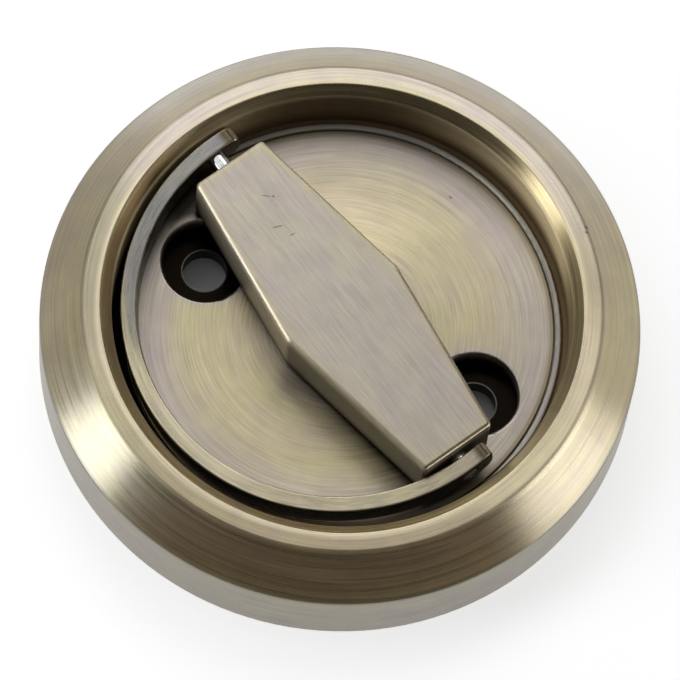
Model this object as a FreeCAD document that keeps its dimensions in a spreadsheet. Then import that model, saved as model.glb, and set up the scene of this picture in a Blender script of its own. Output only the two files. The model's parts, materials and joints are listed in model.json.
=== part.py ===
import FreeCAD, Part
import math
import os
import re
import Sketcher
from FreeCAD import Placement, Rotation, Vector

# Pocket door pull: a round bevelled bezel, a sunk floor, a turn bar and a folding half ring.
# Millimetres. The origin is the centre of the back face, which lies on the door. +Z points out of
# the door. The two screw holes lie along X.

# Driving dimensions

SIZES = {
    # Bezel ring, from the outside in
    "bezel_diameter": 75.0,
    "bezel_height": 15.4,
    "bevel_width": 5.2,
    "bevel_height": 5.4,
    "rim_width": 2.3,
    "chamfer_width": 1.45,
    "chamfer_height": 1.3,
    "relief_width": 0.65,
    "relief_depth": 0.5,
    "lip_width": 0.9,
    "lip_thickness": 1.0,
    "lip_rise": 0.1,
    "lip_round": 0.3,
    "skirt_wall": 3.2,
    "band_edge_round": 0.5,
    "rim_edge_round": 0.3,
    "back_edge_round": 0.4,
    # Base plate with the floor
    "floor_depth": 7.5,
    "floor_seam": 0.15,
    "floor_edge_round": 0.15,
    "plate_recess": 2.0,
    "plate_clearance": 0.05,
    "hub_recess_clearance": 1.05,
    "hub_recess_depth": 1.8,
    # Screw holes in the floor
    "screw_spacing": 38.0,
    "screw_hole_diameter": 5.6,
    "screw_hole_length": 2.6,
    "counterbore_diameter": 10.8,
    "counterbore_round": 0.4,
    # Screws that hold the plate in the bezel
    "plate_screw_count": 4,
    "plate_screw_diameter": 2.5,
    "plate_screw_length": 8.0,
    "plate_screw_head": 4.7,
    "plate_screw_rim": 0.3,
    "plate_screw_wall": 0.8,
    "plate_screw_slot": 0.6,
    "plate_screw_slot_depth": 1.1,
    "screw_clearance": 0.03,
    "thread_run_out": 0.2,
    # Turn bar
    "bar_proud": 0.65,
    "bar_floor_gap": 0.9,
    "bar_end_width": 10.3,
    "bar_mid_width": 17.1,
    "bar_end_clearance": 0.15,
    "bar_angle": -25.65,
    "bar_edge_round": 0.55,
    "bar_corner_round": 0.6,
    "bar_mid_round": 2.6,
    "bar_lower_round": 0.25,
    # Pull ring
    "ring_clearance": 0.55,
    "ring_shift": 0.8,
    "ring_set": 0.33,
    "ring_width": 2.05,
    "ring_height": 4.0,
    "ring_rest_gap": 0.23,
    "ring_end_reach": 3.6,
    "ring_end_round": 1.3,
    "ring_edge_round": 0.25,
    # Pivot pins
    "pivot_rise": 3.8,
    "pin_diameter": 2.5,
    "pin_length": 9.2,
    "pin_bevel": 0.3,
    "pin_inset": 0.1,
    "pin_clearance": 0.05,
    "pin_end_play": 0.5,
    "pin_press": 0.01,
    # Hub, from the bar down
    "neck_diameter": 12.0,
    "neck_clearance": 0.05,
    "hub_head_width": 8.4,
    "hub_head_height": 3.2,
    "hub_head_clearance": 0.03,
    "spindle_width": 7.0,
    "spindle_clearance": 0.05,
    "spindle_roof": 0.6,
    "hub_end_inset": 0.2,
    "bush_wall": 1.5,
    "bush_flange_width": 2.4,
    "bush_flange_thickness": 0.8,
    "slip_washer_width": 1.8,
    "slip_washer_thickness": 1.5,
    "slip_seat_clearance": 0.1,
    "washer_clearance": 0.15,
    "wave_washer_width": 2.0,
    "wave_washer_sheet": 0.3,
    "wave_washer_height": 0.68,
    "back_washer_width": 2.6,
    "back_washer_thickness": 0.6,
    "stack_clearance": 0.02,
    # Circlip in the hub's groove
    "clip_thickness": 1.0,
    "clip_groove_depth": 0.25,
    "clip_width": 2.0,
    "clip_gap": 3.0,
    "clip_lug_radius": 1.6,
    "clip_hole_radius": 0.75,
    # Screw that holds the bar on the hub
    "hub_screw_diameter": 4.0,
    "hub_screw_head_clearance": 0.3,
    "hub_screw_head_height": 2.6,
    "hub_screw_engagement": 3.0,
    "hub_screw_key": 3.0,
    "hub_screw_key_depth": 1.6,
}

# Places worked out from the driving dimensions

PLACES = {
    "back_z": "0",
    "bezel_radius": "bezel_diameter / 2",
    "band_top_z": "bezel_height - bevel_height",
    "rim_radius": "bezel_radius - bevel_width",
    "rim_inner_radius": "rim_radius - rim_width",
    "wall_radius": "rim_inner_radius - chamfer_width",
    "chamfer_z": "bezel_height - chamfer_height",
    "lip_outer_radius": "wall_radius - relief_width",
    "lip_radius": "lip_outer_radius - lip_width",
    "floor_z": "bezel_height - floor_depth",
    "lip_top_z": "floor_z + lip_rise",
    "lip_under_z": "lip_top_z - lip_thickness",
    "skirt_radius": "bezel_radius - skirt_wall",
    "plate_radius": "skirt_radius - plate_clearance",
    "floor_radius": "lip_radius - floor_seam",
    "counterbore_z": "plate_recess + screw_hole_length",
    "bar_under_z": "floor_z + bar_floor_gap",
    "bar_top_z": "bezel_height + bar_proud",
    "bar_height": "bar_top_z - bar_under_z",
    "neck_radius": "neck_diameter / 2",
    "bush_bore": "neck_radius + neck_clearance",
    "bush_radius": "bush_bore + bush_wall",
    "bush_flange_radius": "bush_radius + bush_flange_width",
    "washer_bore": "neck_radius + washer_clearance",
    "slip_washer_radius": "washer_bore + slip_washer_width",
    "slip_seat_z": "bar_under_z - slip_washer_thickness",
    "slip_seat_radius": "slip_washer_radius + slip_seat_clearance",
    "hub_recess_z": "plate_recess + hub_recess_depth",
    "hub_recess_radius": "bush_flange_radius + hub_recess_clearance",
    "bush_flange_z": "hub_recess_z - bush_flange_thickness",
    "wave_top_z": "bush_flange_z - stack_clearance",
    "wave_under_z": "wave_top_z - wave_washer_height",
    "back_washer_z": "wave_under_z - back_washer_thickness",
    "clip_under_z": "back_washer_z - clip_thickness",
    "clip_bore": "neck_radius - clip_groove_depth",
    "clip_lug_x": "clip_bore + clip_width",
    "clip_lug_y": "clip_gap / 2 + clip_lug_radius",
    "hub_head_z": "bar_under_z + hub_head_height",
    "spindle_roof_z": "bar_under_z - spindle_roof",
    "hub_screw_head_radius": "spindle_width / 2 - hub_screw_head_clearance",
    "hub_screw_tip_z": "hub_head_z + hub_screw_engagement",
    "plate_screw_radius": "wall_radius + plate_screw_wall + plate_screw_diameter / 2",
    "plate_screw_head_depth": "plate_screw_rim + (plate_screw_head - plate_screw_diameter) / 2",
    "ring_radius": "wall_radius - ring_clearance - ring_shift",
    "ring_inner_radius": "ring_radius - ring_width",
    "ring_reach": "ring_radius - ring_set",
    "pivot_z": "bar_under_z + pivot_rise",
    "ring_drop": "pivot_z - floor_z - ring_rest_gap",
    "ring_far": "sqrt(ring_reach ^ 2 + (ring_height / 2) ^ 2)",
    "ring_tilt": "asin(ring_drop / ring_far) - atan(ring_height / 2 / ring_reach)",
    "bar_end_v": "bar_end_width / 2 + ring_set",
    "bar_half_length": "sqrt(ring_inner_radius ^ 2 - bar_end_v ^ 2) - ring_shift - bar_end_clearance",
    "pin_radius": "pin_diameter / 2",
    "pin_outer_x": "ring_radius - pin_inset",
    "pin_inner_x": "pin_outer_x - pin_length",
    "pin_bore_x": "pin_inner_x - ring_shift - pin_end_play",
}

# The wave washer's waves, the sections that draw each wave, and how near counts as touching
WAVES = 3
SECTIONS_PER_WAVE = 8
NEAR = 1e-4

UP = Vector(0, 0, 1)
ALONG_X = Vector(1, 0, 0)

doc = FreeCAD.newDocument("pocket_door_pull")
sizes = doc.addObject("Spreadsheet::Sheet", "Sizes")
places = doc.addObject("Spreadsheet::Sheet", "Places")


def bound(formula):
    """The formula with each name pointed at the sheet that holds it."""
    def point(found):
        word = found.group(0)
        if word in SIZES:
            return "Sizes." + word
        if word in PLACES:
            return "Places." + word
        return word
    return re.sub(r"[a-z][a-z_0-9]*", point, formula)


def fill_sheets():
    for row, (name, number) in enumerate(SIZES.items(), start=1):
        cell = "B" + str(row)
        sizes.set("A" + str(row), name)
        sizes.set(cell, str(number))
        sizes.setAlias(cell, name)
    doc.recompute()
    for row, (name, formula) in enumerate(PLACES.items(), start=1):
        cell = "B" + str(row)
        places.set("A" + str(row), name)
        places.set(cell, "=" + bound(formula))
        places.setAlias(cell, name)
        doc.recompute()


def value(formula):
    """The number that a formula of the sheets' names comes to."""
    found = sizes.evalExpression(bound(formula))
    return float(getattr(found, "Value", found))


def point_at(x, y):
    return Vector(value(x), value(y), 0)


# Building blocks

def new_body(name):
    body = doc.addObject("PartDesign::Body", name)
    body.Label = name
    return body


def origin_part(body, role):
    """One of the planes and axes of the body's own origin."""
    for feature in body.Origin.OriginFeatures:
        if feature.Role == role:
            return feature
    raise ValueError(role)


def sketch_on(body, name, role="XY_Plane", height=None):
    """An empty sketch on one of the body's own planes, lifted along the plane's normal."""
    sketch = body.newObject("Sketcher::SketchObject", name)
    sketch.AttachmentSupport = [(origin_part(body, role), "")]
    sketch.MapMode = "FlatFace"
    if height:
        sketch.setExpression("AttachmentOffset.Base.z", bound(height))
    return sketch


def bind(sketch, kind, *place_and_formula):
    """A dimension of the sketch, driven by a formula."""
    *place, formula = place_and_formula
    index = sketch.addConstraint(Sketcher.Constraint(kind, *place, 1.0))
    sketch.setExpression("Constraints[" + str(index) + "]", bound(formula))


def pin_point(sketch, geometry, point, x, y):
    bind(sketch, "DistanceX", -1, 1, geometry, point, x)
    bind(sketch, "DistanceY", -1, 1, geometry, point, y)


def arc_about(centre, start, end):
    """The shorter arc from start to end, and which of its ends those two are."""
    circle = Part.Circle(centre, UP, (start - centre).Length)
    start_angle = circle.parameter(start)
    end_angle = circle.parameter(end)
    if (end_angle - start_angle) % (2 * math.pi) < math.pi:
        return Part.ArcOfCircle(circle, start_angle, end_angle), (1, 2)
    return Part.ArcOfCircle(circle, end_angle, start_angle), (2, 1)


def draw_outline(sketch, corners):
    """A closed outline. Each corner is two formulas, x and y, with straight lines between them. Two
    more formulas are the centre of an arc to the next corner."""
    points = [point_at(x, y) for x, y, *_ in corners]
    following = points[1:] + points[:1]
    edges = []
    for (x, y, *centre), start, end in zip(corners, points, following):
        shape, ends = Part.LineSegment(start, end), (1, 2)
        if centre:
            shape, ends = arc_about(point_at(*centre), start, end)
        edges.append((sketch.addGeometry(shape), ends))
    for (edge, ends), (after, after_ends) in zip(edges, edges[1:] + edges[:1]):
        joined = Sketcher.Constraint("Coincident", edge, ends[1], after, after_ends[0])
        sketch.addConstraint(joined)
    for (x, y, *centre), (edge, ends) in zip(corners, edges):
        pin_point(sketch, edge, ends[0], x, y)
        if centre:
            bind(sketch, "DistanceX", -1, 1, edge, 3, centre[0])


def draw_circle(sketch, radius, x="0", y="0"):
    circle = Part.Circle(point_at(x, y), UP, value(radius))
    index = sketch.addGeometry(circle)
    bind(sketch, "Radius", index, radius)
    pin_point(sketch, index, 3, x, y)


def draw_box(sketch, x_low, x_high, y_low, y_high):
    draw_outline(sketch, [(x_low, y_low), (x_high, y_low), (x_high, y_high), (x_low, y_high)])


def turned(body, name, corners, about="V_Axis"):
    """A solid turned from a half section: corners are (radius, height) about the sketch's axis."""
    sketch = sketch_on(body, name + "_section", "XZ_Plane")
    draw_outline(sketch, corners)
    turn = body.newObject("PartDesign::Revolution", name)
    turn.Profile = sketch
    turn.ReferenceAxis = (sketch, [about])
    turn.Angle = 360
    doc.recompute()
    return turn


def pad(body, name, sketch, length, both_ways=False):
    feature = body.newObject("PartDesign::Pad", name)
    feature.Profile = sketch
    feature.setExpression("Length", bound(length))
    if both_ways:
        feature.SideType = "Symmetric"
    doc.recompute()
    return feature


def pocket(body, name, sketch, depth, towards_normal=False):
    """A cut from the sketch, against its normal unless towards_normal."""
    before = body.Shape.Volume
    cut = body.newObject("PartDesign::Pocket", name)
    cut.Profile = sketch
    cut.Type = "Length"
    cut.Reversed = towards_normal
    cut.setExpression("Length", bound(depth))
    doc.recompute()
    if not body.Shape.Volume < before:
        raise ValueError(name + " cuts nothing")
    return cut


def groove_hole(body, name, corners, axis_x):
    """A turned hole about an upright axis at axis_x, from a half section: corners are (distance
    from that axis, height)."""
    before = body.Shape.Volume
    sketch = sketch_on(body, name + "_section", "XZ_Plane")
    sketch.setExpression("AttachmentOffset.Base.x", bound(axis_x))
    draw_outline(sketch, corners)
    cut = body.newObject("PartDesign::Groove", name)
    cut.Profile = sketch
    cut.ReferenceAxis = (sketch, ["V_Axis"])
    cut.Angle = 360
    doc.recompute()
    if not body.Shape.Volume < before:
        raise ValueError(name + " cuts nothing")
    return cut


def repeat_round(body, name, features, count):
    pattern = body.newObject("PartDesign::PolarPattern", name)
    pattern.Originals = features
    pattern.Axis = (origin_part(body, "Z_Axis"), [""])
    pattern.Angle = 360
    pattern.setExpression("Occurrences", bound(count))
    body.Tip = pattern
    doc.recompute()


def mirror_across(body, name, features, role):
    mirror = body.newObject("PartDesign::Mirrored", name)
    mirror.Originals = features
    mirror.MirrorPlane = (origin_part(body, role), [""])
    body.Tip = mirror
    doc.recompute()


def round_edges(body, name, radius, wanted):
    """Fillet of the tip's edges that the test picks out."""
    base = body.Tip
    names = ["Edge" + str(i + 1) for i, edge in enumerate(base.Shape.Edges) if wanted(edge)]
    if not names:
        raise ValueError(name + " finds no edge")
    fillet = body.newObject("PartDesign::Fillet", name)
    fillet.Base = (base, names)
    fillet.setExpression("Radius", bound(radius))
    doc.recompute()


def flat_at(edge, z):
    box = edge.BoundBox
    return abs(box.ZMin - z) < NEAR and abs(box.ZMax - z) < NEAR


def upright(edge):
    box = edge.BoundBox
    return box.XLength < NEAR and box.YLength < NEAR


def circle_at(radius, z):
    """A test for a circular edge of that radius at that height, both given as names."""
    wanted_radius = value(radius)
    wanted_z = value(z)

    def test(edge):
        if not flat_at(edge, wanted_z) or not isinstance(edge.Curve, Part.Circle):
            return False
        return abs(edge.Curve.Radius - wanted_radius) < NEAR

    return test


# The fixed pieces

def make_bezel_ring():
    body = new_body("bezel_ring")
    turned(body, "bezel_turning", [
        ("bezel_radius", "back_z"),
        ("bezel_radius", "band_top_z"),
        ("rim_radius", "bezel_height"),
        ("rim_inner_radius", "bezel_height"),
        ("wall_radius", "chamfer_z"),
        ("wall_radius", "lip_top_z - relief_depth"),
        ("lip_outer_radius", "lip_top_z - relief_depth"),
        ("lip_outer_radius", "lip_top_z"),
        ("lip_radius", "lip_top_z"),
        ("lip_radius", "lip_under_z"),
        ("skirt_radius", "lip_under_z"),
        ("skirt_radius", "back_z"),
    ])
    round_edges(body, "band_edge", "band_edge_round", circle_at("bezel_radius", "band_top_z"))
    round_edges(body, "rim_outer_edge", "rim_edge_round", circle_at("rim_radius", "bezel_height"))
    round_edges(body, "rim_inner_edge", "rim_edge_round",
                circle_at("rim_inner_radius", "bezel_height"))
    round_edges(body, "wall_edge", "rim_edge_round", circle_at("wall_radius", "chamfer_z"))
    round_edges(body, "lip_outer_edge", "lip_round", circle_at("lip_outer_radius", "lip_top_z"))
    round_edges(body, "lip_inner_edge", "lip_round", circle_at("lip_radius", "lip_top_z"))
    round_edges(body, "back_edge", "back_edge_round", circle_at("bezel_radius", "back_z"))
    holes = sketch_on(body, "thread_hole_place", "XY_Plane", "lip_under_z")
    draw_circle(holes, "plate_screw_diameter / 2 + screw_clearance", "plate_screw_radius")
    depth = "plate_recess + plate_screw_length + thread_run_out - lip_under_z"
    hole = pocket(body, "thread_hole", holes, depth, towards_normal=True)
    repeat_round(body, "thread_holes", [hole], "plate_screw_count")
    return body


def make_base_plate():
    body = new_body("base_plate")
    turned(body, "plate_turning", [
        ("bush_radius", "hub_recess_z"),
        ("hub_recess_radius", "hub_recess_z"),
        ("hub_recess_radius", "plate_recess"),
        ("plate_radius", "plate_recess"),
        ("plate_radius", "lip_under_z"),
        ("floor_radius", "lip_under_z"),
        ("floor_radius", "floor_z"),
        ("slip_seat_radius", "floor_z"),
        ("slip_seat_radius", "slip_seat_z"),
        ("bush_radius", "slip_seat_z"),
    ])
    round_edges(body, "floor_edge", "floor_edge_round", circle_at("floor_radius", "floor_z"))
    seat_wall = "counterbore_diameter / 2"
    rim = seat_wall + " + counterbore_round"
    hole_cut = groove_hole(body, "screw_hole", [
        ("0", "back_z"),
        ("screw_hole_diameter / 2", "back_z"),
        ("screw_hole_diameter / 2", "counterbore_z"),
        (seat_wall, "counterbore_z"),
        (seat_wall, "floor_z - counterbore_round", rim, "floor_z - counterbore_round"),
        (rim, "floor_z"),
        (rim, "bezel_height"),
        ("0", "bezel_height"),
    ], "screw_spacing / 2")
    mirror_across(body, "both_screw_holes", [hole_cut], "YZ_Plane")
    clear = "plate_screw_diameter / 2 + screw_clearance"
    head = "plate_screw_head / 2 + screw_clearance"
    sink = groove_hole(body, "plate_screw_hole", [
        ("0", "plate_recess"),
        (head, "plate_recess"),
        (head, "plate_recess + plate_screw_rim"),
        (clear, "plate_recess + plate_screw_head_depth"),
        (clear, "lip_under_z"),
        ("0", "lip_under_z"),
    ], "plate_screw_radius")
    repeat_round(body, "plate_screw_holes", [sink], "plate_screw_count")
    return body


def make_hub_bush():
    body = new_body("hub_bush")
    turned(body, "bush_turning", [
        ("bush_bore", "bush_flange_z"),
        ("bush_flange_radius", "bush_flange_z"),
        ("bush_flange_radius", "hub_recess_z"),
        ("bush_radius", "hub_recess_z"),
        ("bush_radius", "slip_seat_z"),
        ("bush_bore", "slip_seat_z"),
    ])
    return body


def make_washer(name, inner, outer, low, high):
    body = new_body(name)
    turned(body, name + "_turning", [(inner, low), (outer, low), (outer, high), (inner, high)])
    return body


def make_plate_screw(number):
    """Countersunk screw with a crossed recess, head down in the plate's back face."""
    body = new_body("bezel_screw_" + str(number))
    turned(body, "screw_turning", [
        ("0", "0"),
        ("plate_screw_head / 2", "0"),
        ("plate_screw_head / 2", "plate_screw_rim"),
        ("plate_screw_diameter / 2", "plate_screw_head_depth"),
        ("plate_screw_diameter / 2", "plate_screw_length"),
        ("0", "plate_screw_length"),
    ])
    half_slot = "plate_screw_slot / 2"
    reach = "plate_screw_diameter / 2"
    for name, x, y in (("slot", reach, half_slot), ("cross_slot", half_slot, reach)):
        sketch = sketch_on(body, name + "_place")
        draw_box(sketch, "0 - " + x, x, "0 - " + y, y)
        pocket(body, name, sketch, "plate_screw_slot_depth", towards_normal=True)
    turn = "(" + str(number - 1) + " * 360 deg / plate_screw_count)"
    body.setExpression("Placement.Base.x", bound("plate_screw_radius * cos" + turn))
    body.setExpression("Placement.Base.y", bound("plate_screw_radius * sin" + turn))
    body.setExpression("Placement.Base.z", bound("plate_recess"))
    return body


# The pieces that turn with the bar

def turn_with_bar(body):
    body.setExpression("Placement.Rotation.Angle", bound("bar_angle * 1 deg"))


def make_turn_bar():
    """Elongated hexagon, widest in the middle, with its length along its own X."""
    body = new_body("turn_bar")
    outline = sketch_on(body, "bar_outline", "XY_Plane", "bar_under_z")
    draw_outline(outline, [
        ("bar_half_length", "0 - bar_end_width / 2"),
        ("bar_half_length", "bar_end_width / 2"),
        ("0", "bar_mid_width / 2"),
        ("0 - bar_half_length", "bar_end_width / 2"),
        ("0 - bar_half_length", "0 - bar_end_width / 2"),
        ("0", "0 - bar_mid_width / 2"),
    ])
    pad(body, "bar_block", outline, "bar_height")
    middle = value("bar_half_length") / 2
    round_edges(body, "middle_corners", "bar_mid_round",
                lambda edge: upright(edge) and abs(edge.BoundBox.XMin) < middle)
    round_edges(body, "end_corners", "bar_corner_round",
                lambda edge: upright(edge) and abs(edge.BoundBox.XMin) > middle)
    top_z = value("bar_top_z")
    round_edges(body, "upper_edges", "bar_edge_round", lambda edge: flat_at(edge, top_z))
    under_z = value("bar_under_z")
    round_edges(body, "lower_edges", "bar_lower_round", lambda edge: flat_at(edge, under_z))
    bore = sketch_on(body, "pin_bore_place", "YZ_Plane", "bar_half_length")
    draw_circle(bore, "pin_radius + pin_clearance", "0", "pivot_z")
    bore_cut = pocket(body, "pin_bore", bore, "bar_half_length - pin_bore_x")
    mirror_across(body, "both_pin_bores", [bore_cut], "YZ_Plane")
    socket = sketch_on(body, "hub_socket_place", "XY_Plane", "bar_under_z")
    half = "(hub_head_width / 2 + hub_head_clearance)"
    draw_box(socket, "0 - " + half, half, "0 - " + half, half)
    pocket(body, "hub_socket", socket, "hub_head_height + hub_head_clearance", towards_normal=True)
    thread = sketch_on(body, "hub_thread_place", "XY_Plane", "bar_under_z")
    draw_circle(thread, "hub_screw_diameter / 2 + screw_clearance")
    depth = "hub_screw_tip_z - bar_under_z + thread_run_out"
    pocket(body, "hub_thread", thread, depth, towards_normal=True)
    turn_with_bar(body)
    return body


def make_drive_hub():
    """Round neck with a square head for the bar, a square socket below and a clip groove."""
    body = new_body("drive_hub")
    groove_top = "back_washer_z + stack_clearance"
    groove_under = "clip_under_z - stack_clearance"
    turned(body, "hub_turning", [
        ("0", "hub_end_inset"),
        ("neck_radius", "hub_end_inset"),
        ("neck_radius", groove_under),
        ("clip_bore", groove_under),
        ("clip_bore", groove_top),
        ("neck_radius", groove_top),
        ("neck_radius", "bar_under_z"),
        ("0", "bar_under_z"),
    ])
    head = sketch_on(body, "head_outline", "XY_Plane", "bar_under_z")
    draw_box(head, "0 - hub_head_width / 2", "hub_head_width / 2",
             "0 - hub_head_width / 2", "hub_head_width / 2")
    pad(body, "head", head, "hub_head_height")
    socket = sketch_on(body, "spindle_socket_place", "XY_Plane", "hub_end_inset")
    half = "(spindle_width / 2 + spindle_clearance)"
    draw_box(socket, "0 - " + half, half, "0 - " + half, half)
    pocket(body, "spindle_socket", socket, "spindle_roof_z - hub_end_inset", towards_normal=True)
    bolt = sketch_on(body, "hub_screw_hole_place", "XY_Plane", "hub_end_inset")
    draw_circle(bolt, "hub_screw_diameter / 2 + screw_clearance")
    pocket(body, "hub_screw_hole", bolt, "hub_head_z - hub_end_inset", towards_normal=True)
    turn_with_bar(body)
    return body


def make_hub_screw():
    body = new_body("hub_screw")
    head_under = "spindle_roof_z - hub_screw_head_height"
    turned(body, "hub_screw_turning", [
        ("0", head_under),
        ("hub_screw_head_radius", head_under),
        ("hub_screw_head_radius", "spindle_roof_z"),
        ("hub_screw_diameter / 2", "spindle_roof_z"),
        ("hub_screw_diameter / 2", "hub_screw_tip_z"),
        ("0", "hub_screw_tip_z"),
    ])
    key = sketch_on(body, "key_place", "XY_Plane", head_under)
    corner = "hub_screw_key / 2 / cos(30 deg)"
    turns = ["(" + str(60 * i) + " deg)" for i in range(6)]
    draw_outline(key, [(corner + " * cos" + turn, corner + " * sin" + turn) for turn in turns])
    pocket(body, "key_socket", key, "hub_screw_key_depth", towards_normal=True)
    turn_with_bar(body)
    return body


def make_wave_washer():
    """Thin ring with three waves, its crests just under the bush's flange."""
    inner = value("washer_bore")
    outer = inner + value("wave_washer_width")
    sheet = value("wave_washer_sheet")
    middle_z = (value("wave_top_z") + value("wave_under_z")) / 2
    swing = (value("wave_washer_height") - sheet) / 2
    steps = WAVES * SECTIONS_PER_WAVE
    sections = []
    for step in range(steps):
        angle = 2 * math.pi * step / steps
        z = middle_z + swing * math.cos(WAVES * angle)
        out = Vector(math.cos(angle), math.sin(angle), 0)
        low = Vector(0, 0, z - sheet / 2)
        high = Vector(0, 0, z + sheet / 2)
        ring = [out * inner + low, out * outer + low, out * outer + high, out * inner + high]
        sections.append(Part.makePolygon(ring + [ring[0]]))
    feature = doc.addObject("Part::Feature", "wave_washer")
    feature.Label = "wave_washer"
    feature.Shape = Part.makeLoft(sections, True, True, True)
    feature.Placement = Placement(Vector(0, 0, 0), Rotation(UP, value("bar_angle")))
    return feature


def make_circlip():
    """Open ring with two lugs, each with a hole."""
    body = new_body("circlip")
    ring = sketch_on(body, "clip_ring_place", "XY_Plane", "clip_under_z")
    draw_circle(ring, "clip_bore + clip_width")
    pad(body, "clip_ring", ring, "clip_thickness")
    lugs = sketch_on(body, "clip_lug_place", "XY_Plane", "clip_under_z")
    for y in ("clip_lug_y", "0 - clip_lug_y"):
        draw_circle(lugs, "clip_lug_radius", "clip_lug_x", y)
    pad(body, "clip_lugs", lugs, "clip_thickness")
    bore = sketch_on(body, "clip_bore_place", "XY_Plane", "clip_under_z")
    draw_circle(bore, "clip_bore")
    pocket(body, "clip_bore_cut", bore, "clip_thickness", towards_normal=True)
    gap = sketch_on(body, "clip_gap_place", "XY_Plane", "clip_under_z")
    draw_box(gap, "0", "clip_lug_x + clip_lug_radius", "0 - clip_gap / 2", "clip_gap / 2")
    pocket(body, "clip_gap_cut", gap, "clip_thickness", towards_normal=True)
    holes = sketch_on(body, "clip_hole_place", "XY_Plane", "clip_under_z")
    for y in ("clip_lug_y", "0 - clip_lug_y"):
        draw_circle(holes, "clip_hole_radius", "clip_lug_x", y)
    pocket(body, "clip_holes", holes, "clip_thickness", towards_normal=True)
    turn_with_bar(body)
    return body


# The half ring and its pins

def ring_place():
    """The ring's own frame: hinged about the bar's length, leaning down to the floor, and slid
    along its pins."""
    turn = Placement(Vector(0, 0, value("pivot_z")), Rotation(UP, value("bar_angle")))
    lean = Placement(Vector(0, 0, 0), Rotation(ALONG_X, value("ring_tilt")))
    slide = Placement(Vector(0 - value("ring_shift"), value("ring_set"), 0), Rotation())
    return turn.multiply(lean).multiply(slide)


def make_pull_ring():
    """Flat-sided arch, a little more than half a ring, with rounded ends past the pins."""
    body = new_body("pull_ring")
    ring = sketch_on(body, "ring_outline")
    draw_circle(ring, "ring_radius")
    draw_circle(ring, "ring_inner_radius")
    pad(body, "ring_block", ring, "ring_height", both_ways=True)
    away = sketch_on(body, "open_side", "XY_Plane", "0 - ring_height / 2")
    draw_box(away, "0 - ring_radius - ring_width", "ring_radius + ring_width",
             "ring_end_reach - ring_set", "ring_radius + ring_width")
    pocket(body, "open_side_cut", away, "ring_height", towards_normal=True)
    end_y = value("ring_end_reach") - value("ring_set")
    half = value("ring_height") / 2

    def end_edge(edge):
        box = edge.BoundBox
        flat = flat_at(edge, half) or flat_at(edge, -half)
        return flat and abs(box.YMin - end_y) < NEAR and abs(box.YMax - end_y) < NEAR

    round_edges(body, "ring_ends", "ring_end_round", end_edge)
    round_edges(body, "ring_edges", "ring_edge_round",
                lambda edge: edge.BoundBox.YLength > value("ring_radius") / 2)
    bore = sketch_on(body, "pin_seat_place", "YZ_Plane", "0 - ring_radius")
    draw_circle(bore, "pin_radius - pin_press", "0 - ring_set", "0")
    pocket(body, "pin_seats", bore, "ring_radius * 2", towards_normal=True)
    body.Placement = ring_place()
    return body


def make_pivot_pin(name, half_turn):
    """Plain pin with bevelled ends, pressed in the ring and running in the bar."""
    body = new_body(name)
    turned(body, name + "_turning", [
        ("pin_inner_x", "0"),
        ("pin_inner_x", "pin_radius - pin_bevel"),
        ("pin_inner_x + pin_bevel", "pin_radius"),
        ("pin_outer_x - pin_bevel", "pin_radius"),
        ("pin_outer_x", "pin_radius - pin_bevel"),
        ("pin_outer_x", "0"),
    ], about="H_Axis")
    seat = Placement(Vector(0, 0 - value("ring_set"), 0), Rotation(UP, half_turn))
    body.Placement = ring_place().multiply(seat)
    return body


def make_all():
    pieces = [
        make_bezel_ring(),
        make_base_plate(),
        make_hub_bush(),
        make_washer("thrust_washer", "washer_bore", "slip_washer_radius", "slip_seat_z", "bar_under_z"),
    ]
    for number in range(1, int(value("plate_screw_count")) + 1):
        pieces.append(make_plate_screw(number))
    pieces += [
        make_turn_bar(),
        make_drive_hub(),
        make_hub_screw(),
        make_wave_washer(),
        make_washer("back_washer", "washer_bore", "washer_bore + back_washer_width",
                    "back_washer_z", "wave_under_z"),
        make_circlip(),
        make_pull_ring(),
        make_pivot_pin("pivot_pin_left", 180),
        make_pivot_pin("pivot_pin_right", 0),
    ]
    return pieces


def check_document():
    for item in doc.Objects:
        if "Invalid" in item.State or "Error" in item.State:
            raise ValueError(item.Name + " failed")


def check_piece(piece):
    shape = piece.Shape
    if shape.isNull() or not shape.isValid():
        raise ValueError(piece.Label + " has no valid shape")
    if len(shape.Solids) != 1:
        raise ValueError(piece.Label + " is not one solid")


def export(pieces):
    os.makedirs("parts", exist_ok=True)
    for piece in pieces:
        piece.Shape.exportStep("parts/" + piece.Label + ".step")
        box = piece.Shape.BoundBox
        print(piece.Label, round(piece.Shape.Volume, 2), "mm3, z", round(box.ZMin, 2), round(box.ZMax, 2))


fill_sheets()
made = make_all()
doc.recompute()
check_document()
for made_piece in made:
    check_piece(made_piece)
export(made)
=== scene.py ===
import json
import math

import bpy
from mathutils import Matrix, Vector


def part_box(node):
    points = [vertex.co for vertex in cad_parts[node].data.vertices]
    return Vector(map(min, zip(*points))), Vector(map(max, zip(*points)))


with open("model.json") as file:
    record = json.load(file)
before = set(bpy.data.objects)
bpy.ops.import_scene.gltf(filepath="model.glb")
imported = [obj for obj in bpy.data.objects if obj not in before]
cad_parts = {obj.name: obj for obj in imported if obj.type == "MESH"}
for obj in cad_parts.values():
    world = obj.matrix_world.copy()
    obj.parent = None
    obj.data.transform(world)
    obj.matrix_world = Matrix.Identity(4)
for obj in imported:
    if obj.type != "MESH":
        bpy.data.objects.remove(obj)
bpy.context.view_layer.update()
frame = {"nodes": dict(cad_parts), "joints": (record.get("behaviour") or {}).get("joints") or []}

# Looks of the pocket door pull: brushed antique brass on every outer piece, bright pins, a pale
# floor, soft studio lamps and the camera of the photograph. Metres, Z out of the door.

# Sizes read from the frame

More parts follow.
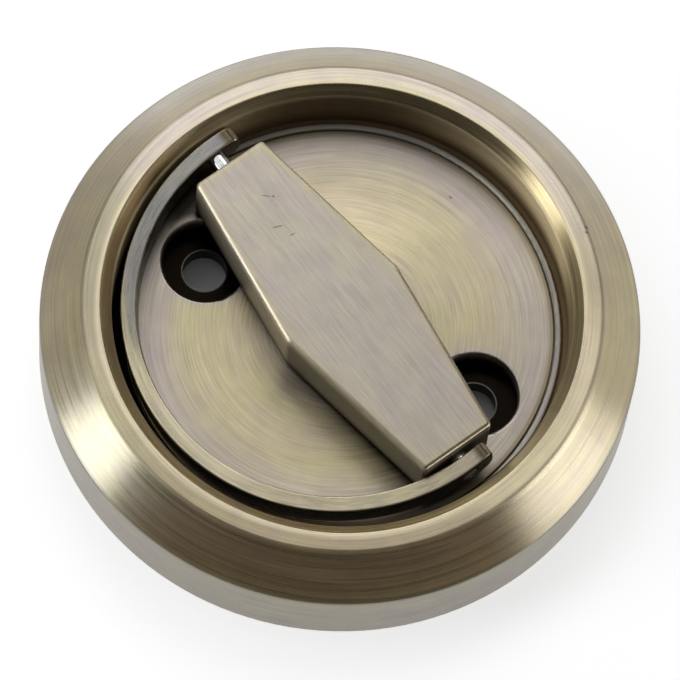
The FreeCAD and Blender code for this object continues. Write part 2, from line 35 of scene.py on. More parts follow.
BEZEL_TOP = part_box("bezel_ring")[1]
RIM_Z = BEZEL_TOP.z
BEZEL_RADIUS = BEZEL_TOP.x
FLOOR_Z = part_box("base_plate")[1].z
BAR_LOW, BAR_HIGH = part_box("turn_bar")
FOLD = next(joint for joint in frame["joints"] if joint["name"] == "ring_fold")
BAR_DIRECTION = -Vector(FOLD["axis"]).normalized()
BAR_ANGLE = math.atan2(BAR_DIRECTION.y, BAR_DIRECTION.x)

# The bezel's profile, from the outside in

RIM_RADIUS = BEZEL_RADIUS - 0.0052
RIM_INNER_RADIUS = RIM_RADIUS - 0.0023
WALL_RADIUS = RIM_INNER_RADIUS - 0.00145
LIP_OUTER_RADIUS = WALL_RADIUS - 0.00065
BAND_TOP_Z = RIM_Z - 0.0054

# The screw holes in the floor

HOLE_X = 0.019
COUNTERBORE_RADIUS = 0.0054
COUNTERBORE_DEPTH = 0.0033
HOLE_RADIUS = 0.0028

# The bar narrows evenly from its middle to its ends

BAR_END_HALF = 0.00515
BAR_MIDDLE_HALF = 0.00855
BAR_HALF_LENGTH = (BAR_HIGH.x - BAR_END_HALF * abs(math.sin(BAR_ANGLE))) / math.cos(BAR_ANGLE)
BAR_TAPER = (BAR_MIDDLE_HALF - BAR_END_HALF) / BAR_HALF_LENGTH

# The half ring's centre lies a little off the bezel's, and its tips reach past the pins

RING_CENTRE = (-0.00058, 0.00064)
RING_MIDDLE_RADIUS = 0.0263
RING_TIP_REACH = 0.0012


def srgb(red, green, blue):
    """A colour given as 0 to 255 screen values, in linear light."""
    def linear(level):
        share = level / 255
        return share / 12.92 if share <= 0.04045 else ((share + 0.055) / 1.055) ** 2.4
    return (linear(red), linear(green), linear(blue), 1.0)


# Tones of the antique brass

BAND_GREY = srgb(152, 147, 135)
BEVEL_SILVER = srgb(190, 184, 170)
BEVEL_KHAKI = srgb(182, 171, 144)
BEVEL_GOLD = srgb(180, 169, 140)
BEVEL_BROWN = srgb(161, 141, 110)
# Painted shade and painted highlight for stretches of the bevel
BEVEL_PAINTED_SHADE = srgb(156, 146, 122)
BEVEL_PAINTED_HIGHLIGHT = srgb(188, 179, 156)
# Cream on rounded edges: partly worn brass, partly painted highlight
EDGE_CREAM = srgb(230, 218, 190)
RIM_SILVER = srgb(224, 215, 199)
RIM_CREAM = srgb(200, 190, 163)
RIM_TAN = srgb(186, 174, 146)
# Painted shade and painted highlight for stretches of the rim
RIM_PAINTED_SHADE = srgb(186, 178, 155)
RIM_PAINTED_HIGHLIGHT = srgb(238, 226, 190)
# Painted shade for a stretch of the chamfer
CHAMFER_PAINTED_SHADE = srgb(150, 128, 92)
CHAMFER_BROWN = srgb(198, 180, 140)
WALL_TAN = srgb(228, 212, 172)
# Painted shade: the wall is near black towards the brown side and darker in stretches
WALL_PAINTED_DARK_SIDE = srgb(32, 22, 10)
WALL_PAINTED_SHADE = srgb(158, 141, 112)
WALL_FOOT = srgb(140, 120, 92)
LIP_GREY = srgb(208, 205, 198)
FLOOR_KHAKI = srgb(206, 196, 165)
FLOOR_LILAC = srgb(197, 188, 178)
# Painted light for a patch of the floor
FLOOR_PAINTED_LIGHT = srgb(228, 217, 182)
FLOOR_SHADE = srgb(150, 138, 112)
# Painted highlight on the top edge of the screw holes' bores
HOLE_RIM_PAINTED_HIGHLIGHT = srgb(112, 110, 106)
BAR_KHAKI = srgb(200, 192, 179)
# The bar's sides darker than its top: painted shade. Its edge tone: partly worn brass, partly painted
# highlight
BAR_SIDE = srgb(154, 146, 126)
BAR_EDGE = srgb(204, 194, 168)
RING_CREAM = srgb(212, 202, 174)
# Painted highlight for a stretch of the half ring's top
RING_PAINTED_HIGHLIGHT = srgb(238, 228, 200)
RING_SILVER = srgb(173, 172, 167)
RING_TIP = srgb(110, 98, 78)
# The half ring's sides darker than its top: painted shade
RING_SIDE = srgb(132, 127, 113)
# Black patina in hollows, also laid as painted shade under and beside the half ring and the bar, and on
# the floor
PATINA_AND_SHADE = srgb(26, 22, 17)

# Faint tints of the plating, laid over every tone in bands along the grain

LILAC = (1.02, 0.97, 1.05, 1.0)
KHAKI = (1.02, 1.02, 0.90, 1.0)

# The tones turn browner and darker towards one side of the bezel, and silvery opposite. The lip and the
# wall's foot are black except towards the open side, away from the half ring: patina in the corner, and
# painted shade of the half ring over them.

BROWN_SIDE = (0.5, -0.866)
OPEN_SIDE = (0.819, 0.574)

# Where a tone takes over along one of those directions: distance from the axis, and softness

RIM_CREAM_FROM = (-0.013, 0.011)
RIM_TAN_FROM = (0.022, 0.007)
BEVEL_GOLD_FROM = (-0.018, 0.011)
BEVEL_BROWN_FROM = (0.0255, 0.0065)
# Where the wall's painted shade takes over on the brown side
WALL_PAINTED_DARK_SIDE_FROM = (0.015, 0.006)
LIP_GREY_FROM = (-0.013, 0.006)

# The foot of the wall clears between these distances, towards the open and off the brown side

FOOT_CLEARS_OPEN = (0.004, 0.016)
FOOT_CLEARS_BROWN = (-0.018, -0.010)

# Stretches of painted shade and painted highlight: middle, half width and softness, in degrees round the
# axis

RIM_PAINTED_SHADE_AT = (-162, 16, 12)
RIM_PAINTED_HIGHLIGHT_AT = (-2, 22, 14)
BEVEL_PAINTED_SHADE_AT = (-178, 14, 13)
BEVEL_PAINTED_HIGHLIGHT_AT = ((-123, 12, 10), (-10, 12, 11))
CHAMFER_PAINTED_SHADE_AT = (-170, 24, 10)
WALL_PAINTED_SHADE_AT = ((-142, 16, 10), (20, 14, 10), (120, 18, 16))
FLOOR_PAINTED_LIGHT_AT = (120, 30, 24)
RING_PAINTED_HIGHLIGHT_AT = (-112, 20, 16)

# Where the floor's tones take over from the centre out: radius and softness

FLOOR_KHAKI_FROM = (0.009, 0.004)
FLOOR_LILAC_FROM = (0.0215, 0.003)
FLOOR_SHADE_FROM = (0.0263, 0.0006)
# The painted light lies within these radii
FLOOR_PAINTED_LIGHT_WITHIN = (0.015, 0.021)

# How far the half ring's cream has replaced its silver, along the brown side's direction

RING_CREAM_INSIDE = (-0.002, 0.013)
RING_CREAM_OUTSIDE = (-0.010, 0.004)

# Wear that shows in the photograph, and one patch of painted shadow on the floor: centre, length, width
# (metres) and turn (degrees) of each mark

BEZEL_PITS = (
    (0.02204, 0.02372, 0.0006, 0.0005, 0),
    (0.02235, 0.02307, 0.0005, 0.0004, 30),
)
# Painted shadow: the floor turns black where the half ring's upper end and the bar shade it, at the share
# below
FLOOR_PAINTED_SHADE = (-0.0229, 0.0060, 0.0110, 0.0092, 70)
PAINTED_SHADE_SHARE = 0.8
FLOOR_SPECKS = (
    (0.00425, 0.02232, 0.0005, 0.0004, 0),
)
BAR_SCRATCHES = (
    (-0.01180, 0.00525, 0.0017, 0.00024, 42),
    (-0.01500, 0.00825, 0.0012, 0.00022, 20),
    (-0.00970, 0.00520, 0.0010, 0.00022, 60),
    (-0.01414, 0.00863, 0.0005, 0.00035, 0),
)
SCRATCH_SHARE = 0.2
MARK_SHARE = 0.5

# The brushed grain: how quickly it changes along its lines, and across them per metre

HAIR_GRAIN = (2.2, 5200.0)
LINE_GRAIN = (1.4, 2300.0)
BAND_GRAIN = (1.0, 260.0)
CLOUD_SCALE = 260.0
BAR_STROKES = 5.0
GROOVE_STRENGTH = 0.22
GROOVE_DEPTH = 0.00002

# Gloss: the spread of the roughness along the grain, and what duller places add to it

ROUGHNESS_SPREAD = 0.04
BRUSHED_ANISOTROPY = 0.75
BAR_SIDE_DULLNESS = 0.18
BAR_EDGE_DULLNESS = 0.07
WALL_DULLNESS = 0.25

# Noise seldom leaves this reach

NOISE_LOW = 0.25
NOISE_HIGH = 0.75


# Building blocks for node materials

def feed(tree, socket, given):
    """Links a socket to another, or sets its own value. None leaves it alone."""
    if isinstance(given, bpy.types.NodeSocket):
        tree.links.new(given, socket)
    elif given is not None:
        socket.default_value = given


def add(tree, kind, *inputs, **settings):
    """A node with its settings, and its first inputs filled in order."""
    made = tree.nodes.new(kind)
    for name, setting in settings.items():
        setattr(made, name, setting)
    for socket, given in zip(made.inputs, inputs):
        feed(tree, socket, given)
    return made


def number(tree, operation, *inputs):
    return add(tree, "ShaderNodeMath", *inputs, operation=operation).outputs[0]


def ramp(tree, given, low, high, to_low=0.0, to_high=1.0):
    """given from low..high to to_low..to_high, smooth and held at the ends."""
    made = add(tree, "ShaderNodeMapRange", given, low, high, to_low, to_high,
               interpolation_type="SMOOTHSTEP")
    return made.outputs[0]


def spread(tree, grain, to_low, to_high):
    """A noise's usual reach, taken to to_low..to_high."""
    return ramp(tree, grain, NOISE_LOW, NOISE_HIGH, to_low, to_high)


def noise(tree, place, scale=1.0, detail=3.0, roughness=0.55):
    made = add(tree, "ShaderNodeTexNoise")
    feed(tree, made.inputs["Vector"], place)
    feed(tree, made.inputs["Scale"], scale)
    feed(tree, made.inputs["Detail"], detail)
    feed(tree, made.inputs["Roughness"], roughness)
    return made.outputs[0]


def blend(tree, share, low, high, kind="MIX"):
    """A colour between low and high, or low with high laid on it in another way."""
    made = add(tree, "ShaderNodeMix", data_type="RGBA", blend_type=kind)
    feed(tree, made.inputs[0], share)
    feed(tree, made.inputs[6], low)
    feed(tree, made.inputs[7], high)
    return made.outputs[2]


def layered(tree, given, first, *layers):
    """A colour that changes where given passes each edge: layers are (edge, softness, colour)."""
    colour = first
    for edge, softness, tone in layers:
        colour = blend(tree, ramp(tree, given, edge - softness, edge + softness), colour, tone)
    return colour


def scaled(tree, colour, share):
    made = add(tree, "ShaderNodeVectorMath", colour, operation="SCALE")
    feed(tree, made.inputs["Scale"], share)
    return made.outputs[0]


def combine(tree, x, y, z):
    return add(tree, "ShaderNodeCombineXYZ", x, y, z).outputs[0]


class Place:
    """Where a surface point lies on its piece, with the distance from an upright axis."""

    def __init__(self, tree, centre=(0.0, 0.0)):
        self.tree = tree
        coordinates = add(tree, "ShaderNodeTexCoord").outputs
        self.whole = coordinates["Object"]
        x, y, self.z = add(tree, "ShaderNodeSeparateXYZ", self.whole).outputs
        self.x = number(tree, "SUBTRACT", x, centre[0])
        self.y = number(tree, "SUBTRACT", y, centre[1])
        self.radius = self.distance(self.x, self.y)
        self.facing_up = add(tree, "ShaderNodeSeparateXYZ", coordinates["Normal"]).outputs[2]

    def distance(self, x, y):
        flat = combine(self.tree, x, y, 0.0)
        return add(self.tree, "ShaderNodeVectorMath", flat, operation="LENGTH").outputs["Value"]

    def towards(self, direction):
        """How far out from the axis, measured along a flat direction."""
        part = number(self.tree, "MULTIPLY", self.y, direction[1])
        return number(self.tree, "MULTIPLY_ADD", self.x, direction[0], part)

    def sector(self, middle, half, softness):
        """1 within half of a direction seen from the axis, all in degrees, with soft sides."""
        turn = math.radians(middle)
        along = self.towards((math.cos(turn), math.sin(turn)))
        aim = number(self.tree, "DIVIDE", along, self.radius)
        outer = math.cos(math.radians(half + softness))
        inner = math.cos(math.radians(half - softness))
        return ramp(self.tree, aim, outer, inner)

    def round_grain(self, along, across):
        """Slow round the axis, quick along the radius and the height."""
        tree = self.tree
        cosine = number(tree, "DIVIDE", self.x, self.radius)
        sine = number(tree, "DIVIDE", self.y, self.radius)
        slow_x = number(tree, "MULTIPLY", cosine, along)
        slow_y = number(tree, "MULTIPLY", sine, along)
        return combine(tree, slow_x, number(tree, "MULTIPLY_ADD", self.z, across, slow_y),
                       number(tree, "MULTIPLY", self.radius, across))

    def on_bar(self):
        """The same point with its first part along the bar and its second across it."""
        turned = add(self.tree, "ShaderNodeVectorRotate", rotation_type="Z_AXIS")
        feed(self.tree, turned.inputs["Vector"], self.whole)
        feed(self.tree, turned.inputs["Angle"], -BAR_ANGLE)
        return turned.outputs[0]

    def straight_grain(self, along, across):
        """Slow along the bar, quick across it, in strokes a good deal shorter than the bar."""
        per_metre = along * BAR_STROKES / (BAR_HIGH.x - BAR_LOW.x)
        stretch = add(self.tree, "ShaderNodeVectorMath", self.on_bar(),
                      (per_metre, across, across), operation="MULTIPLY")
        return stretch.outputs[0]

    def from_bar_edge(self):
        """How far inside the outline of the bar's top a point lies."""
        tree = self.tree
        along, across, _ = add(tree, "ShaderNodeSeparateXYZ", self.on_bar()).outputs
        along = number(tree, "ABSOLUTE", along)
        across = number(tree, "ABSOLUTE", across)
        half_width = number(tree, "MULTIPLY_ADD", along, -BAR_TAPER, BAR_MIDDLE_HALF)
        from_side = number(tree, "SUBTRACT", half_width, across)
        from_end = number(tree, "SUBTRACT", BAR_HALF_LENGTH, along)
        return number(tree, "MINIMUM", from_side, from_end)


def round_tangent(tree):
    return add(tree, "ShaderNodeTangent", direction_type="RADIAL", axis="Z").outputs[0]


def straight_tangent(tree):
    turned = add(tree, "ShaderNodeVectorTransform", tuple(BAR_DIRECTION), vector_type="VECTOR",
                 convert_from="OBJECT", convert_to="WORLD")
    return turned.outputs[0]


def groove_bump(tree, height, strength):
    made = add(tree, "ShaderNodeBump")
    feed(tree, made.inputs["Strength"], strength)
    feed(tree, made.inputs["Distance"], GROOVE_DEPTH)
    feed(tree, made.inputs["Height"], height)
    return made.outputs[0]


def new_material(name):
    material = bpy.data.materials.new(name)
    material.use_nodes = True
    material.node_tree.nodes.clear()
    return material, material.node_tree


def metal(tree, colour, roughness, bump, tangent=None):
    """A metal. Where it has a tangent, its grain runs along it and its gloss spreads across it."""
    shader = add(tree, "ShaderNodeBsdfPrincipled")
    feed(tree, shader.inputs["Base Color"], colour)
    feed(tree, shader.inputs["Metallic"], 1.0)
    feed(tree, shader.inputs["Roughness"], roughness)
    feed(tree, shader.inputs["Normal"], bump)
    if tangent is not None:
        feed(tree, shader.inputs["Anisotropic"], BRUSHED_ANISOTROPY)
        feed(tree, shader.inputs["Anisotropic Rotation"], 0.25)
        feed(tree, shader.inputs["Tangent"], tangent)
    add(tree, "ShaderNodeOutputMaterial", shader.outputs[0])


# Antique brass, zone by zone

def bevel_tones(tree, place, side):
    """Silver to brown across the bezel, with a stretch of painted shade and painted highlights on its two
    bright fans.
    """
    far_bevel = layered(tree, place.radius, BEVEL_KHAKI, (RIM_RADIUS + 0.0025, 0.002, BEVEL_SILVER))
    bevel = layered(tree, side, far_bevel, (*BEVEL_GOLD_FROM, BEVEL_GOLD),
                    (*BEVEL_BROWN_FROM, BEVEL_BROWN))
    bevel = blend(tree, place.sector(*BEVEL_PAINTED_SHADE_AT), bevel, BEVEL_PAINTED_SHADE)
    for stretch in BEVEL_PAINTED_HIGHLIGHT_AT:
        bevel = blend(tree, place.sector(*stretch), bevel, BEVEL_PAINTED_HIGHLIGHT)
    return bevel


def rim_tones(tree, place, side):
    rim = layered(tree, side, RIM_SILVER, (*RIM_CREAM_FROM, RIM_CREAM), (*RIM_TAN_FROM, RIM_TAN))
    # Stretches of painted shade and painted highlight on the rim
    rim = blend(tree, place.sector(*RIM_PAINTED_SHADE_AT), rim, RIM_PAINTED_SHADE)
    return blend(tree, place.sector(*RIM_PAINTED_HIGHLIGHT_AT), rim, RIM_PAINTED_HIGHLIGHT)


def wall_tones(tree, place, side, foot):
    # Painted shade: near black towards the brown side, and darker in stretches round the axis
    wall = layered(tree, side, WALL_TAN, (*WALL_PAINTED_DARK_SIDE_FROM, WALL_PAINTED_DARK_SIDE))
    for stretch in WALL_PAINTED_SHADE_AT:
        wall = blend(tree, place.sector(*stretch), wall, WALL_PAINTED_SHADE)
    return layered(tree, place.z, foot, (FLOOR_Z + 0.0018, 0.0018, wall))


def bezel_zones(tree, place):
    """The lip, the wall's foot, the wall, the chamfer, the rim, the bevel and the band."""
    side = place.towards(BROWN_SIDE)
    open_side = place.towards(OPEN_SIDE)
    on_open_side = ramp(tree, open_side, *FOOT_CLEARS_OPEN)
    off_brown_side = ramp(tree, side, *FOOT_CLEARS_BROWN, 1.0, 0.0)
    # Black on the half ring's side: patina in the corner and painted shade of the half ring
    foot = blend(tree, number(tree, "MAXIMUM", on_open_side, off_brown_side), PATINA_AND_SHADE, WALL_FOOT)
    lip = layered(tree, open_side, PATINA_AND_SHADE, (*LIP_GREY_FROM, LIP_GREY))
    # A stretch of painted shade on the chamfer
    chamfer = blend(tree, place.sector(*CHAMFER_PAINTED_SHADE_AT), CHAMFER_BROWN, CHAMFER_PAINTED_SHADE)
    inner = layered(tree, place.radius, lip,
                    (LIP_OUTER_RADIUS - 0.0003, 0.0002, foot),
                    (WALL_RADIUS - 0.0001, 0.00005, wall_tones(tree, place, side, foot)))
    outer = layered(tree, place.radius, chamfer,
                    # Cream on the rim's inner edge: partly worn brass, partly painted highlight
                    (RIM_INNER_RADIUS, 0.0003, EDGE_CREAM),
                    (RIM_INNER_RADIUS + 0.0006, 0.0004, rim_tones(tree, place, side)),
                    (RIM_RADIUS, 0.0002, bevel_tones(tree, place, side)))
    upper = layered(tree, place.radius, inner, (WALL_RADIUS + 0.0002, 0.0001, outer))
    outside = ramp(tree, place.radius, RIM_RADIUS, RIM_RADIUS + 0.001)
    low = ramp(tree, place.z, BAND_TOP_Z, BAND_TOP_Z + 0.0005, 1.0, 0.0)
    return blend(tree, number(tree, "MULTIPLY", outside, low), upper, BAND_GREY)


def floor_zones(tree, place):
    """The floor, shaded towards its edge and the screw holes, which are black inside, with a patch of
    painted light and a painted shadow.
    """
    off_x = number(tree, "SUBTRACT", number(tree, "ABSOLUTE", place.x), HOLE_X)
    from_hole = place.distance(off_x, place.y)
    flat = layered(tree, place.radius, FLOOR_LILAC, (*FLOOR_KHAKI_FROM, FLOOR_KHAKI),
                   (*FLOOR_LILAC_FROM, FLOOR_LILAC), (*FLOOR_SHADE_FROM, FLOOR_SHADE))
    # A patch of painted light on the floor, within a ring round the axis
    within = ramp(tree, place.radius, *FLOOR_PAINTED_LIGHT_WITHIN, 1.0, 0.0)
    bright = number(tree, "MULTIPLY", place.sector(*FLOOR_PAINTED_LIGHT_AT), within)
    flat = blend(tree, bright, flat, FLOOR_PAINTED_LIGHT)
    # Painted shadow where the half ring's upper end and the bar shade the floor
    painted_shade = number(tree, "MULTIPLY", marked(tree, place, (FLOOR_PAINTED_SHADE,)), PAINTED_SHADE_SHARE)
    flat = blend(tree, painted_shade, flat, PATINA_AND_SHADE)
    seat = layered(tree, place.z, PATINA_AND_SHADE, (FLOOR_Z - 0.0013, 0.0012, FLOOR_LILAC))
    # The bores are black, with a painted highlight along their top edge
    hole = layered(tree, place.z, PATINA_AND_SHADE, (FLOOR_Z - COUNTERBORE_DEPTH - 0.0002, 0.0001, HOLE_RIM_PAINTED_HIGHLIGHT))
    return layered(tree, from_hole, hole,
                   (HOLE_RADIUS + 0.0001, 0.0001, PATINA_AND_SHADE),
                   (COUNTERBORE_RADIUS - 0.0003, 0.0001, seat),
                   (COUNTERBORE_RADIUS + 0.0008, 0.0007, flat))


def bar_zones(tree, place):
    """The top and its rounded edge in cream, partly worn brass and partly painted highlight; duller sides
    whose darker tone is painted shade, black at the foot as painted shade.
    """
    # Painted shade: black at the foot of the sides, and the sides darker than the top. The cream edge is
    # partly worn brass, partly painted highlight.
    side = layered(tree, place.z, PATINA_AND_SHADE, (BAR_LOW.z + 0.0008, 0.0012, BAR_SIDE),
                   (BAR_HIGH.z - 0.0011, 0.0007, BAR_EDGE))
    top = layered(tree, place.from_bar_edge(), BAR_EDGE, (0.0009, 0.0006, BAR_KHAKI))
    return layered(tree, place.facing_up, side, (0.15, 0.14, EDGE_CREAM), (0.93, 0.06, top))


def ring_zones(tree, place):
    """The top is cream towards the brown side of the bezel, on its outer edge first, with dark tips."""
    side = place.towards(BROWN_SIDE)
    inner = blend(tree, ramp(tree, side, *RING_CREAM_INSIDE), RING_SILVER, RING_CREAM)
    outer = blend(tree, ramp(tree, side, *RING_CREAM_OUTSIDE), RING_SILVER, RING_CREAM)
    top = layered(tree, place.radius, inner, (RING_MIDDLE_RADIUS, 0.0005, outer))
    # A stretch of painted highlight on the half ring's top
    top = blend(tree, place.sector(*RING_PAINTED_HIGHLIGHT_AT), top, RING_PAINTED_HIGHLIGHT)
    past_pins = place.towards((-BAR_DIRECTION.y, BAR_DIRECTION.x))
    top = layered(tree, past_pins, top, (RING_TIP_REACH, 0.0006, RING_TIP))
    # Sides darker than the top as painted shade; cream edges partly worn brass, partly painted highlight
    return layered(tree, place.facing_up, RING_SIDE, (0.3, 0.2, EDGE_CREAM), (0.9, 0.08, top))


# Wear and dullness

def marked(tree, place, marks):
    """1 inside any of the marks and 0 outside, with soft edges."""
    share = 0.0
    for x, y, length, width, degrees in marks:
        shape = add(tree, "ShaderNodeMapping", place.whole, vector_type="TEXTURE")
        feed(tree, shape.inputs["Location"], (x, y, 0.0))
        feed(tree, shape.inputs["Rotation"], (0.0, 0.0, math.radians(degrees)))
        feed(tree, shape.inputs["Scale"], (length / 2, width / 2, 1.0))
        out = add(tree, "ShaderNodeVectorMath", shape.outputs[0], operation="LENGTH").outputs["Value"]
        share = number(tree, "MAXIMUM", share, ramp(tree, out, 0.5, 1.1, 1.0, 0.0))
    return share


def hairlines(tree, place):
    """Sparse thin scratches that wander across the grain."""
    path = noise(tree, place.whole, scale=420.0, detail=1.0)
    off_path = number(tree, "ABSOLUTE", number(tree, "SUBTRACT", path, 0.5))
    near = ramp(tree, off_path, 0.002, 0.012, 1.0, 0.0)
    here = ramp(tree, noise(tree, place.whole, scale=310.0, detail=2.0), 0.60, 0.68)
    return number(tree, "MULTIPLY", near, here)


def no_dullness(tree, place):
    return 0.0


def bar_dullness(tree, place):
    """The bar's sides are duller than its top and its worn edges."""
    return ramp(tree, place.facing_up, 0.05, 0.30, BAR_SIDE_DULLNESS, BAR_EDGE_DULLNESS)


def wall_dullness(tree, place):
    """The bezel's wall is left duller than what is turned bright, and so is the rim's outer edge."""
    off_edge = number(tree, "ABSOLUTE", number(tree, "SUBTRACT", place.radius, RIM_RADIUS))
    edge = ramp(tree, off_edge, 0.0001, 0.0003, WALL_DULLNESS, 0.0)
    wall = ramp(tree, place.radius, WALL_RADIUS + 0.0001, WALL_RADIUS + 0.0004, WALL_DULLNESS, 0.0)
    return number(tree, "MAXIMUM", edge, wall)


# Whole materials

def brass(name, zones, grain_of, tangent_of, roughness, marks=(), centre=(0.0, 0.0),
          dullness=no_dullness, streaks=1.0, tinting=0.8):
    """Brushed antique brass: fine lines along the grain, lilac and khaki bands, wear and grooves."""
    material, tree = new_material(name)
    place = Place(tree, centre)
    grain = getattr(place, grain_of)
    hair = noise(tree, grain(*HAIR_GRAIN), detail=2.0)
    lines = noise(tree, grain(*LINE_GRAIN), detail=2.0)
    bands = noise(tree, grain(*BAND_GRAIN), detail=4.0, roughness=0.7)
    cloud = noise(tree, place.whole, scale=CLOUD_SCALE, detail=3.0)
    worn = spread(tree, hair, 1.0 - 0.14 * streaks, 1.0 + 0.12 * streaks)
    worn = number(tree, "ADD", worn, spread(tree, lines, -0.08 * streaks, 0.08 * streaks))
    worn = number(tree, "ADD", worn, ramp(tree, cloud, 0.3, 0.7, -0.04, 0.04))
    colour = scaled(tree, zones(tree, place), worn)
    tint = number(tree, "MULTIPLY_ADD", bands, 0.7, number(tree, "MULTIPLY", cloud, 0.3))
    sheen = blend(tree, ramp(tree, tint, 0.35, 0.65), LILAC, KHAKI)
    colour = blend(tree, tinting, colour, sheen, "MULTIPLY")
    scratched = number(tree, "MULTIPLY", hairlines(tree, place), SCRATCH_SHARE)
    dents = marked(tree, place, marks)
    dark = number(tree, "MULTIPLY", number(tree, "MAXIMUM", dents, scratched), MARK_SHARE)
    colour = blend(tree, dark, colour, PATINA_AND_SHADE)
    rough = spread(tree, lines, roughness - ROUGHNESS_SPREAD, roughness + ROUGHNESS_SPREAD)
    rough = number(tree, "ADD", rough, dullness(tree, place))
    bump = groove_bump(tree, number(tree, "SUBTRACT", lines, dents), GROOVE_STRENGTH)
    metal(tree, colour, rough, bump, tangent_of(tree))
    return material


def steel(name, tone, roughness):
    """Plain turned metal, for the pins and what lies hidden behind the floor."""
    material, tree = new_material(name)
    turned = noise(tree, Place(tree).round_grain(3.0, 4000.0))
    colour = blend(tree, ramp(tree, turned, 0.3, 0.7), tone, srgb(215, 215, 215))
    rough = ramp(tree, turned, 0.3, 0.7, roughness - 0.05, roughness + 0.05)
    metal(tree, colour, rough, groove_bump(tree, turned, 0.2))
    return material


def nylon():
    material, tree = new_material("black_nylon")
    grain = noise(tree, Place(tree).whole, scale=2500.0)
    shader = add(tree, "ShaderNodeBsdfPrincipled")
    feed(tree, shader.inputs["Base Color"], blend(tree, grain, srgb(28, 28, 28), srgb(48, 48, 48)))
    feed(tree, shader.inputs["Roughness"], ramp(tree, grain, 0.3, 0.7, 0.45, 0.6))
    feed(tree, shader.inputs["Normal"], groove_bump(tree, grain, 0.2))
    add(tree, "ShaderNodeOutputMaterial", shader.outputs[0])
    return material


def dress(material, *names):
    for name in names:
        piece = frame["nodes"][name]
        piece.data.materials.clear()
        piece.data.materials.append(material)


def dress_all():
    turned = brass("antique_brass_turned", bezel_zones, "round_grain", round_tangent, 0.30,
                   marks=BEZEL_PITS, dullness=wall_dullness)
    floor = brass("antique_brass_floor", floor_zones, "round_grain", round_tangent, 0.34,
                  marks=FLOOR_SPECKS)
    bar = brass("antique_brass_bar", bar_zones, "straight_grain", straight_tangent, 0.32,
                marks=BAR_SCRATCHES, dullness=bar_dullness, streaks=0.75, tinting=0.55)
    ring = brass("antique_brass_ring", ring_zones, "round_grain", round_tangent, 0.30,
                 centre=RING_CENTRE)
    dress(turned, "bezel_ring")
    dress(floor, "base_plate")
    dress(bar, "turn_bar")
    dress(ring, "pull_ring")
    dress(steel("pin_steel", srgb(225, 225, 225), 0.16), "pivot_pin_left", "pivot_pin_right")
    dress(steel("zinc_plated_steel", srgb(170, 172, 174), 0.35), "drive_hub", "back_washer")
    dress(steel("screw_steel", srgb(150, 152, 154), 0.35), "hub_screw", "bezel_screw_1",
          "bezel_screw_2", "bezel_screw_3", "bezel_screw_4")
    dress(steel("spring_steel", srgb(70, 70, 74), 0.3), "wave_washer", "circlip")
    dress(steel("bush_brass", srgb(205, 175, 110), 0.3), "hub_bush")
    dress(nylon(), "thrust_washer")


# The pale floor with its upturned rim

STAGE_RADIUS = 1.8
COVE_RADIUS = 0.2
STAGE_SIDES = 96
COVE_STEPS = 8
FLOOR_GLOW = 0.69
FLOOR_GLOW_BELOW = 0.02


def floor_mesh():
    """A disc that curls up at its rim."""
    profile = [(STAGE_RADIUS, 0.0)]
    for step in range(1, COVE_STEPS + 1):
        turn = math.pi / 2 * step / COVE_STEPS
        reach = STAGE_RADIUS + COVE_RADIUS * math.sin(turn)
        profile.append((reach, COVE_RADIUS * (1 - math.cos(turn))))
    points = [(0.0, 0.0, 0.0)]
    for radius, height in profile:
        for side in range(STAGE_SIDES):
            turn = 2 * math.pi * side / STAGE_SIDES
            points.append((radius * math.cos(turn), radius * math.sin(turn), height))
    faces = []
    for side in range(STAGE_SIDES):
        after = (side + 1) % STAGE_SIDES
        faces.append((0, 1 + side, 1 + after))
        for ring in range(COVE_STEPS):
            low = 1 + ring * STAGE_SIDES
            high = low + STAGE_SIDES
            faces.append((low + side, high + side, high + after, low + after))
    mesh = bpy.data.meshes.new("floor")
    mesh.from_pydata(points, [], faces)
    mesh.shade_smooth()
    return mesh


def make_floor():
    """The floor glows where it is seen, directly or in metal, and hardly below the pull, where it
    shows through the screw holes."""
    mesh = floor_mesh()
    floor = bpy.data.objects.new("floor", mesh)
    bpy.context.scene.collection.objects.link(floor)
    material, tree = new_material("floor")
    paths = add(tree, "ShaderNodeLightPath").outputs
    mirrored = number(tree, "ADD", paths["Is Glossy Ray"], paths["Is Transmission Ray"])
    seen = number(tree, "ADD", paths["Is Camera Ray"], mirrored)
    pale = add(tree, "ShaderNodeBsdfDiffuse", (0.8, 0.8, 0.8, 1.0))
    level = ramp(tree, Place(tree).radius, 0.8 * BEZEL_RADIUS, BEZEL_RADIUS, FLOOR_GLOW_BELOW, FLOOR_GLOW)
    glow = add(tree, "ShaderNodeEmission", (1.0, 1.0, 1.0, 1.0), number(tree, "MULTIPLY", seen, level))
    both = add(tree, "ShaderNodeAddShader", pale.outputs[0], glow.outputs[0])
    add(tree, "ShaderNodeOutputMaterial", both.outputs[0])
    mesh.materials.append(material)


# Oval soft boxes: azimuth and elevation from the pull, half width and half height seen from it,
# all in degrees, then radiance and colour

WHITE = (1.0, 1.0, 1.0)
DAYLIGHT = (0.93, 1.0, 1.09)
LAMPS = (
    ("overhead", 115, 52, 22, 18, 1.45, WHITE),
    ("zenith", 115, 88, 16, 14, 0.5, WHITE),
    ("overhead_left", 180, 55, 16, 16, 1.1, WHITE),
    ("left", 220, 13, 11, 10, 4.6, DAYLIGHT),
    ("left_high", 210, 40, 14, 14, 1.1, WHITE),
    ("left_back", 140, 20, 14, 16, 1.1, DAYLIGHT),
    ("back", 92, 15, 14, 14, 0.35, WHITE),
    ("right", 10, 7, 19, 7, 3.9, WHITE),
    ("right_high", 350, 50, 14, 14, 0.2, WHITE),
    ("right_back", 42, 12, 16, 11, 0.6, WHITE),
)
LAMP_DISTANCE = 1.0
ROOM_LEVEL = 0.04


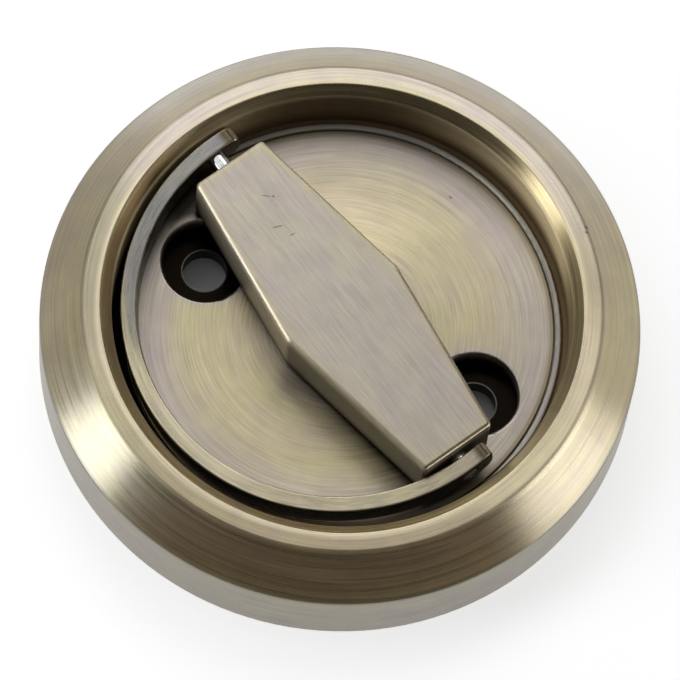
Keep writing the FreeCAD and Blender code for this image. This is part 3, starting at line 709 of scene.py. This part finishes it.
def make_lamp(name, azimuth, elevation, wide, tall, radiance, colour):
    half_width = LAMP_DISTANCE * math.tan(math.radians(wide))
    half_height = LAMP_DISTANCE * math.tan(math.radians(tall))
    lamp = bpy.data.lights.new(name, "AREA")
    lamp.shape = "ELLIPSE"
    lamp.size = 2 * half_width
    lamp.size_y = 2 * half_height
    lamp.energy = radiance * math.pi * (math.pi * half_width * half_height)
    lamp.color = colour
    box = bpy.data.objects.new(name, lamp)
    bpy.context.scene.collection.objects.link(box)
    turn = math.radians(azimuth)
    lift = math.radians(elevation)
    out = Vector((math.cos(turn) * math.cos(lift), math.sin(turn) * math.cos(lift), math.sin(lift)))
    box.location = Vector((0, 0, RIM_Z)) + out * LAMP_DISTANCE
    box.rotation_mode = "QUATERNION"
    box.rotation_quaternion = out.to_track_quat("Z", "Y")
    box.visible_camera = False


def make_world():
    world = bpy.data.worlds.new("room")
    bpy.context.scene.world = world
    world.use_nodes = True
    room = world.node_tree.nodes["Background"]
    room.inputs["Color"].default_value = (1.0, 1.0, 1.0, 1.0)
    room.inputs["Strength"].default_value = ROOM_LEVEL


# The camera of the photograph

IMAGE_PIXELS = 680
FOCAL_PIXELS = 6000
SENSOR = 36.0
LOOK_AT = Vector((0.00185, -0.00430, RIM_Z))
CAMERA_DISTANCE = 0.7407
CAMERA_TILT = math.radians(21.829)
CAMERA_AZIMUTH = math.radians(-69.493)
CAMERA_ROLL = math.radians(7.193)


def make_camera():
    """Tilted off the pull's axis, with that axis leaning a little in the image."""
    sine = math.sin(CAMERA_TILT)
    cosine = math.cos(CAMERA_TILT)
    back = Vector((sine * math.cos(CAMERA_AZIMUTH), sine * math.sin(CAMERA_AZIMUTH), cosine))
    level_up = (Vector((0, 0, 1)) - back * cosine).normalized()
    up = Matrix.Rotation(CAMERA_ROLL, 3, back) @ level_up
    right = up.cross(back)
    lens = bpy.data.cameras.new("camera")
    lens.sensor_width = SENSOR
    lens.lens = SENSOR * FOCAL_PIXELS / IMAGE_PIXELS
    camera = bpy.data.objects.new("camera", lens)
    bpy.context.scene.collection.objects.link(camera)
    turn = Matrix((right, up, back)).transposed().to_4x4()
    camera.matrix_world = Matrix.Translation(LOOK_AT + back * CAMERA_DISTANCE) @ turn
    bpy.context.scene.camera = camera


dress_all()
make_floor()
make_world()
for lamp_values in LAMPS:
    make_lamp(*lamp_values)
make_camera()
bpy.context.scene.view_settings.view_transform = "Standard"
